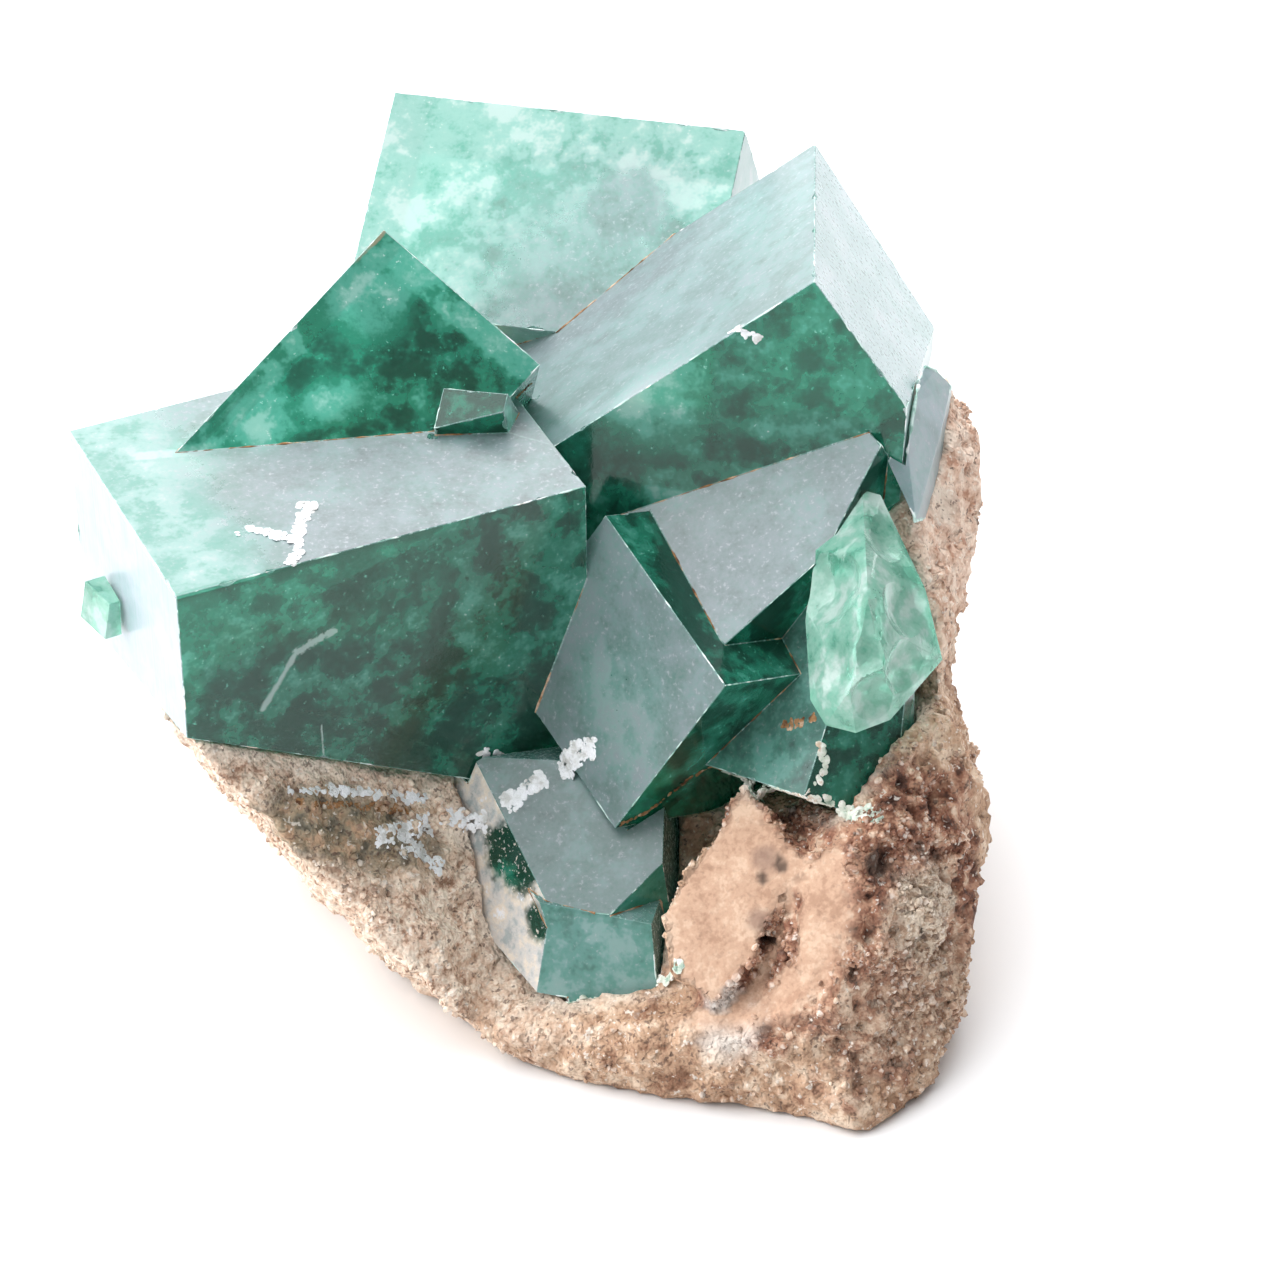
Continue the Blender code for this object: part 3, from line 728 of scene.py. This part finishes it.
def crystal_masks(sheet, tone, frost_and_sheen, cloud):
    """Tone and frost with its painted sheen, with the clouds and bands of the crystals' faces, grey hazes of painted
    sheen and a pale end of painted backlight.
    """
    for crystal, low, high in (("tilted", 2.2, 3.3), ("right", 0.6, 1.6), ("front", 0.5, 1.2)):
        row = CRYSTALS[crystal]
        u, v, w = (abs(axis) for axis in sheet.parts(sheet.from_datum(row["corner"], row["turn"])))
        if crystal == "tilted":
            on_face = w.step(0.6, 0.3)
            tone = tone + u.least(v).step(high, low) * on_face * 0.22
        elif crystal == "right":
            on_face = w.step(0.6, 0.3)
            tone = tone + v.step(22.0, 24.5) * on_face * 0.1 - u.step(2.6, 0.4) * on_face * 0.04
        else:
            on_top = w.step(0.6, 0.3)
            # painted light: the left end of the front crystal's top is paler and less grey, as if lit through from
            # behind
            backlit_left_end = (u + (cloud - 0.5) * 9.0).step(15.0, 4.0) * on_top
            tone = tone + backlit_left_end * 0.45
            frost_and_sheen = frost_and_sheen - backlit_left_end * 0.6
            under_edge = v.step(0.6, 0.3) * w.step(1.0, 0.2)
            tone = tone - under_edge * 0.12 + u.step(2.4, 0.4) * v.step(0.6, 0.3) * 0.06
    rag = cloud
    for point, radius, change in (
            ((-16.3, 30.8, 59.5), 3.6, 0.42), ((-20.3, 24.0, 53.0), 2.4, 0.3), ((-27.3, 21.5, 51.6), 3.0, 0.36),
            ((9.1, 21.0, 58.0), 4.4, 0.30), ((13.5, 20.4, 54.4), 4.4, 0.26),
            ((-31.5, -4.5, 41.6), 5.5, 0.12), ((-12.0, 4.5, 42.0), 6.0, 0.10),
            ((-6.0, 8.0, 22.0), 11.0, -0.08), ((9.5, 4.0, 29.0), 6.5, 0.12),
            ((2.0, 58.0, 49.0), 12.0, -0.28), ((12.0, 60.0, 50.0), 9.0, -0.2)):
        tone = tone + sheet.near(point, radius, 0.6, rag) * change
    # painted sheen: grey haze added round these points, most on the rear crystal's lower part
    for point, radius, change in (
            ((10.4, 63.6, 54.2), 3.4, 0.9), ((6.0, 57.0, 48.0), 13.0, 0.8), ((9.5, 4.0, 29.0), 6.5, -0.25)):
        frost_and_sheen = frost_and_sheen + sheet.near(point, radius, 0.7, rag) * change
    return tone, frost_and_sheen.least(1.0).most(0.0)


FOOT_MIDDLE = (6.5, -7.8, 6.0)


def striations(sheet):
    """Fine growth lines on the milky faces and on the bottom crystal's foot, along the crystals' edges."""
    height = 0.0
    for crystal, lay in (("front", (0.1, 1 / 0.5, 1 / 14.0)), ("right", (0.1, 1 / 12.0, 1 / 0.55))):
        row = CRYSTALS[crystal]
        u = abs(sheet.parts(sheet.from_datum(row["corner"], row["turn"]))[0])
        lines = sheet.noise(1.0, detail=1.0, rough=0.6, at=sheet.from_datum(row["corner"], row["turn"], lay))
        height = lines * u.step(0.6, 0.3) + height
    foot_lines = sheet.noise(1.0, detail=1.0, at=sheet.from_datum(FOOT_MIDDLE, scale=(2.2, 2.2, 0.12)))
    return height + foot_lines * sheet.near(FOOT_MIDDLE, 5.0)


def green_fluorite():
    material, sheet = new_finish("Green_Fluorite")
    tone, frost_and_sheen, milk_and_reflection = sheet.parts(sheet.attribute("face_look", "Vector"))
    broad = sheet.noise(9.0, detail=1.0, rough=0.6)
    wisps = sheet.noise(3.0, detail=3.0, rough=0.66, shift=7.0)
    fine = sheet.noise(0.55, detail=2.0, rough=0.7, shift=2.0)
    clouds = (broad * 0.55 + wisps * 0.45).step(0.42, 0.62)
    tone = tone + (clouds - 0.35) * 0.30 + (wisps - 0.5) * 0.55 + (fine - 0.5) * 0.22
    tone, frost_and_sheen = crystal_masks(sheet, tone, frost_and_sheen, wisps)
    tone = tone + fine.step(0.66, 0.76) * frost_and_sheen.step(0.5, 0.1) * 0.4
    colour = sheet.shades(tone, (0.0, (0.010, 0.085, 0.055)), (0.26, (0.024, 0.26, 0.165)),
                          (0.50, (0.11, 0.49, 0.37)), (0.72, (0.36, 0.70, 0.61)), (1.0, (0.70, 0.88, 0.84)))
    # painted sheen: a lavender-grey haze in the base colour where the frosted faces mirror the bright light above
    painted_sheen = frost_and_sheen * (fine * 0.9 + 0.40 + (wisps - 0.5) * 0.9)
    colour = sheet.mix(painted_sheen.least(1.0).most(0.0) * 0.85, colour, (0.34, 0.37, 0.42))
    lines = striations(sheet)
    # milky lavender-white with growth lines, partly a painted reflection of the bright floor and light at the left
    colour = sheet.mix(milk_and_reflection * (lines * 0.7 + 0.40).least(1.0), colour, (0.70, 0.74, 0.88))
    # pale flecks in the painted sheen of the frosted faces
    colour = sheet.mix(fine.step(0.60, 0.70) * frost_and_sheen * 0.5, colour, (0.66, 0.70, 0.72))
    scar = sheet.along((-26.4, -1.4, 31.6), (-22.9, -0.2, 37.7), 0.32, wisps).most(
        sheet.along((-22.9, -0.2, 37.7), (-19.2, 1.3, 39.2), 0.4, fine)).most(
        sheet.along((-20.8, 1.4, 27.8), (-20.7, 1.7, 23.0), 0.10, fine))
    growth = sheet.along((-2.5, 22.1, 50.3), (2.3, 19.7, 50.2), 0.16, fine).most(
        sheet.along((2.3, 19.7, 50.2), (5.4, 13.2, 49.7), 0.14, fine))
    rusty = sheet.along((-14.9, 36.9, 65.4), (-34.0, 21.5, 49.5), 0.22, wisps)
    colour = sheet.mix(scar * 0.75 + growth * 0.45, colour, (0.62, 0.80, 0.76))
    colour = sheet.mix(rusty * 0.8, colour, (0.50, 0.38, 0.26))
    clear = sheet.shader(
        base_color=colour, roughness=frost_and_sheen * 0.28 + milk_and_reflection * 0.2 + fine * 0.08 + 0.04, ior=FLUORITE_IOR,
        transmission_weight=0.5, coat_weight=frost_and_sheen * 0.45 + milk_and_reflection * 0.2, coat_roughness=0.3,
        normal=sheet.bump(fine, 0.02, 0.8))
    crust = sheet.attribute("crust")
    windows = sheet.near((-1.6, 0.5, 12.0), 4.8, 0.2, wisps, (1.0, 1.0, 0.75)).most(
        sheet.near((1.6, -4.8, 7.6), 2.2, 0.3, wisps))
    crusted = crust * (1.0 - windows * (1.0 - fine.step(0.58, 0.68) * 0.8))
    chalk = sheet.shades(sheet.noise(2.0, detail=5.0, rough=0.6, shift=6.0), (0.36, (0.38, 0.42, 0.42)), (0.48, (0.60, 0.58, 0.55)),
                         (0.6, (0.74, 0.66, 0.56)), (0.7, (0.84, 0.85, 0.88)))
    dull = sheet.shader(base_color=chalk, roughness=0.75, normal=sheet.bump(fine, 0.25, 0.9))
    sheet.finish(sheet.over(crusted, clear, dull), ((0.17, 0.70, 0.55), 60.0))
    return material


def pale_fluorite():
    material, sheet = new_finish("Pale_Fluorite")
    clouds = sheet.noise(4.0, detail=4.0, rough=0.6)
    colour = sheet.shades(clouds, (0.36, (0.16, 0.47, 0.34)), (0.5, (0.36, 0.68, 0.55)), (0.64, (0.70, 0.86, 0.80)))
    scratch = sheet.noise(0.7, detail=2.0)
    sheet.finish(sheet.shader(
        base_color=colour, roughness=scratch * 0.12 + 0.04, ior=FLUORITE_IOR, transmission_weight=0.6,
        coat_weight=0.35, coat_roughness=0.08,
        normal=sheet.bump(scratch + sheet.noise(2.6, detail=2.0) * 1.5, 0.12, 0.7)), ((0.45, 0.86, 0.74), 45.0))
    return material


def worn_and_highlit_edge_finish():
    material, sheet = new_finish("Worn_Crystal_Edge")
    pick = sheet.noise(2.5, detail=4.0)
    # pale beads along the edges: worn crystal, partly a painted edge highlight
    colour = sheet.shades(pick, (0.38, (0.25, 0.45, 0.38)), (0.5, (0.62, 0.78, 0.73)), (0.6, (0.86, 0.88, 0.88)),
                          (0.7, (0.74, 0.60, 0.50)))
    sheet.finish(sheet.shader(base_color=colour, roughness=0.45, normal=sheet.bump(sheet.noise(0.3), 0.1, 0.8)))
    return material


def seam_finish():
    material, sheet = new_finish("Rusty_Seam")
    pick = sheet.noise(1.6, detail=4.0)
    colour = sheet.shades(pick, (0.36, (0.10, 0.04, 0.015)), (0.5, (0.30, 0.15, 0.06)), (0.64, (0.58, 0.42, 0.30)))
    sheet.finish(sheet.shader(base_color=colour, roughness=0.85, normal=sheet.bump(sheet.noise(0.3), 0.15, 0.9)))
    return material


def chalk_finish():
    material, sheet = new_finish("White_Chalk")
    pick = sheet.noise(1.5, detail=4.0)
    colour = sheet.shades(pick, (0.36, (0.62, 0.62, 0.60)), (0.5, (0.82, 0.83, 0.84)), (0.66, (0.90, 0.91, 0.94)))
    sheet.finish(sheet.shader(base_color=colour, roughness=0.9, normal=sheet.bump(sheet.noise(0.2), 0.12, 0.9)))
    return material


def crumb_finish():
    material, sheet = new_finish("Pale_Crumb")
    pick = sheet.noise(1.2, detail=4.0)
    colour = sheet.shades(pick, (0.36, (0.32, 0.45, 0.36)), (0.48, (0.66, 0.70, 0.60)), (0.6, (0.84, 0.82, 0.76)),
                          (0.7, (0.62, 0.46, 0.33)))
    sheet.finish(sheet.shader(base_color=colour, roughness=0.6, normal=sheet.bump(sheet.noise(0.25), 0.12, 0.8)))
    return material


# Marks on the crystals: strokes through points of the tables, with their width and how full they are.
CHALK_STROKES = [
    (((-27.7, 5.5, 48.8), (-25.2, 4.4, 48.8), (-22.9, 3.4, 48.8)), 0.9, 1.0),
    (((-21.6, 9.0, 49.2), (-22.4, 6.2, 49.0), (-22.6, 3.2, 48.8), (-22.3, 1.2, 48.6), (-23.2, -0.9, 48.5)), 1.15, 1.0),
    (((-22.8, 9.4, 49.2), (-21.2, 9.2, 49.2)), 1.3, 1.0),
    (((-28.9, 5.1, 48.8), (-28.3, 3.6, 48.7)), 0.5, 0.6),
    (((-4.9, 9.4, 19.4), (-4.2, 9.6, 18.2)), 0.8, 0.8),
    (((-3.6, 10.0, 18.9), (-2.9, 10.2, 18.0)), 0.7, 0.7),
    (((3.2, 7.0, 18.4), (4.2, 6.6, 20.0), (5.2, 6.1, 21.2), (6.4, 5.5, 22.4)), 2.3, 1.0),
    (((6.2, 5.6, 22.2), (7.0, 5.0, 22.6)), 1.6, 1.0),
    (((-2.4, 4.6, 15.6), (-1.0, 5.2, 16.4), (0.3, 5.9, 17.2), (1.7, 6.7, 18.0)), 1.9, 0.9),
    (((-24.0, -2.6, 22.6), (-20.1, -0.3, 20.9), (-15.2, 2.9, 18.4), (-10.6, 6.0, 15.6)), 1.0, 0.5),
    (((-15.6, -1.6, 15.6), (-13.2, 0.9, 15.1), (-10.2, 3.7, 13.8)), 2.2, 0.75),
    (((-13.2, -0.6, 14.2), (-11.2, 0.7, 12.8), (-8.9, 0.3, 10.8)), 2.4, 0.8),
    (((-8.4, 5.4, 14.0), (-6.0, 5.2, 13.0), (-4.4, 4.8, 13.4)), 2.0, 0.6),
    (((20.4, 22.0, 62.2), (21.6, 21.2, 62.9), (22.4, 20.9, 62.1)), 0.9, 0.7),
    (((21.6, 21.2, 62.9), (23.7, 20.9, 61.5)), 0.7, 0.6),
]
CRUMB_STROKES = [
    (((20.0, 4.4, 19.0), (21.6, 3.0, 19.4), (24.5, -1.5, 21.0), (28.1, -5.5, 23.5), (32.2, -5.4, 21.8), (35.6, -6.8, 22.0)), 1.6, 0.9),
    (((28.1, -5.2, 23.8), (30.4, -3.0, 26.0), (29.0, -3.6, 29.0)), 0.8, 0.5),
    (((12.9, -8.3, 1.8), (14.6, -12.5, 7.6), (16.0, -13.6, 8.6)), 1.2, 0.6),
    (((4.2, -9.6, 0.8), (9.0, -9.6, 0.8), (13.0, -8.6, 2.0)), 1.4, 0.8),
]
RUST_STROKES = [
    (((-23.1, -3.3, 21.3), (-17.1, 0.3, 18.6), (-12.0, 3.6, 15.8), (-9.4, 5.3, 14.6)), 0.7, 0.7),
    (((9.2, -0.8, 16.2), (12.6, 1.6, 16.8), (16.6, 2.6, 20.0), (20.4, 4.5, 21.6)), 0.5, 0.8),
    (((26.4, 1.6, 27.4), (27.8, 0.4, 28.8), (28.4, -0.6, 30.6)), 0.9, 0.9),
    (((-1.4, 28.0, 50.7), (0.1, 30.7, 50.8)), 0.8, 0.5),
]


def strokes_piece(name, strokes, surface, chance):
    """Narrow ragged strips on the surface, along the strokes."""
    bm = bmesh.new()
    share = bm.verts.layers.float.new("grain_share")
    for points, width, fullness in strokes:
        points = [place(p) for p in points]
        previous = None
        for a, b in zip(points, points[1:]):
            count = max(2, round((b - a).length / (0.6 * MM)))
            for i in range(count):
                at = a.lerp(b, i / (count - 1))
                spot, normal, _, _ = surface.find_nearest(at)
                side = (b - a).cross(normal).normalized() * (width / 2 * MM) * chance.uniform(0.6, 1.25)
                row = []
                for t in (-1.0, 0.0, 1.0):
                    edge, facing, _, _ = surface.find_nearest(spot + side * t)
                    row.append(bm.verts.new(edge + facing * (0.03 * MM)))
                    row[-1][share] = fullness * (1.0 if t == 0.0 else 0.75)
                if previous:
                    for k in (0, 1):
                        face = bm.faces.new((previous[k], previous[k + 1], row[k + 1], row[k]))
                        face.normal_update()
                        if face.normal.dot(normal) < 0:
                            face.normal_flip()
                previous = row
            previous = row
        previous = None
    return new_piece(name, bm)


def edges_piece(name, edges, sink):
    bm = bmesh.new()
    for a, b, out in edges:
        bm.edges.new((bm.verts.new(a - out * sink), bm.verts.new(b - out * sink)))
    return new_piece(name, bm)


set_camera()
set_light()
lay_floor()
chance = random.Random(20)
crystal_space = space_of(*(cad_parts[node].data for node in (
    "Fluorite_Cluster", "Bottom_Crystals", "Pale_Broken_Crystal", "Right_Edge_Crystal", "Small_Left_Crystal")))
rock = build_rock(crystal_space)
green, pale, grain = green_fluorite(), pale_fluorite(), grain_finish()
cluster_edges, cluster_seams = edges_of("Fluorite_Cluster")
bottom_edges, bottom_seams = edges_of("Bottom_Crystals")
pale_edges, _ = edges_of("Pale_Broken_Crystal")
shard_edges, _ = edges_of("Right_Edge_Crystal")

cluster = worn_crystal("Fluorite_Cluster", "Cluster")
chip_edges(cluster, cluster_edges, chance)
mark_faces(cluster.data)
bottom = worn_crystal("Bottom_Crystals", "Bottom_Cubes")
mark_faces(bottom.data)
shard = worn_crystal("Right_Edge_Crystal", "Edge_Shard")
mark_faces(shard.data, (0.5, 0.9, 0.45))

lumps, lines = lumps_recipe(), lines_recipe()
surface = space_of(rock.data, cluster.data, bottom.data)

grains = bpy.data.objects.new("Rock_Grains", rock.data.copy())
scene = bpy.context.scene
scene.collection.objects.link(grains)
lumps.run(grains, density=2700000.0, smallest=0.18 * MM, largest=0.62 * MM, flatness=0.8, tumble=1.5, rounding=1,
          seed=5, material=grain)
dress(grains, grain)

seam, highlit_worn_edge = seam_finish(), worn_and_highlit_edge_finish()
for name, strokes, material, size, seed in (
        ("White_Chalk", CHALK_STROKES, chalk_finish(), 0.50, 11),
        ("Pale_Crumbs", CRUMB_STROKES, crumb_finish(), 0.55, 12),
        ("Rust_Stains", RUST_STROKES, seam, 0.30, 13)):
    piece = strokes_piece(name, strokes, surface, chance)
    lumps.run(piece, density=13000000.0, smallest=0.2 * MM, largest=size * MM, flatness=0.22, tumble=0.25,
              rounding=2, seed=seed, material=material)
    dress(piece, material)

for name, edges, material, thick, sink, least, slot in (
        ("Worn_Edges", cluster_edges + bottom_edges, highlit_worn_edge, 0.10, 0.08, 0.05, "green_fluorite"),
        ("Seams", cluster_seams + bottom_seams, seam, 0.14, 0.02, 0.3, "green_fluorite"),
        ("Pale_Ridges", shard_edges, highlit_worn_edge, 0.22, 0.14, 0.2, "edge_fluorite")):
    piece = edges_piece(name, edges, sink * MM)
    lines.run(piece, thickness=thick * MM, stretch=0.35 / MM, waver=0.12 * MM, least=least, material=material)
    dress(piece, material)

lump = new_piece("Pale_Lump", faceted("Pale_Broken_Crystal"))
scoop_out(lump, PALE_SCOOPS)
dress(rock, rock_finish(), "Matrix_Rock")
dress(cluster, green, "Fluorite_Cluster")
dress(bottom, green, "Bottom_Crystals")
dress(lump, pale, "Pale_Broken_Crystal")
dress(shard, green, "Right_Edge_Crystal")
dress(worn_crystal("Small_Left_Crystal", "Small_Cube", 0.1 * MM), pale, "Small_Left_Crystal")

scene.view_settings.view_transform = "Standard"
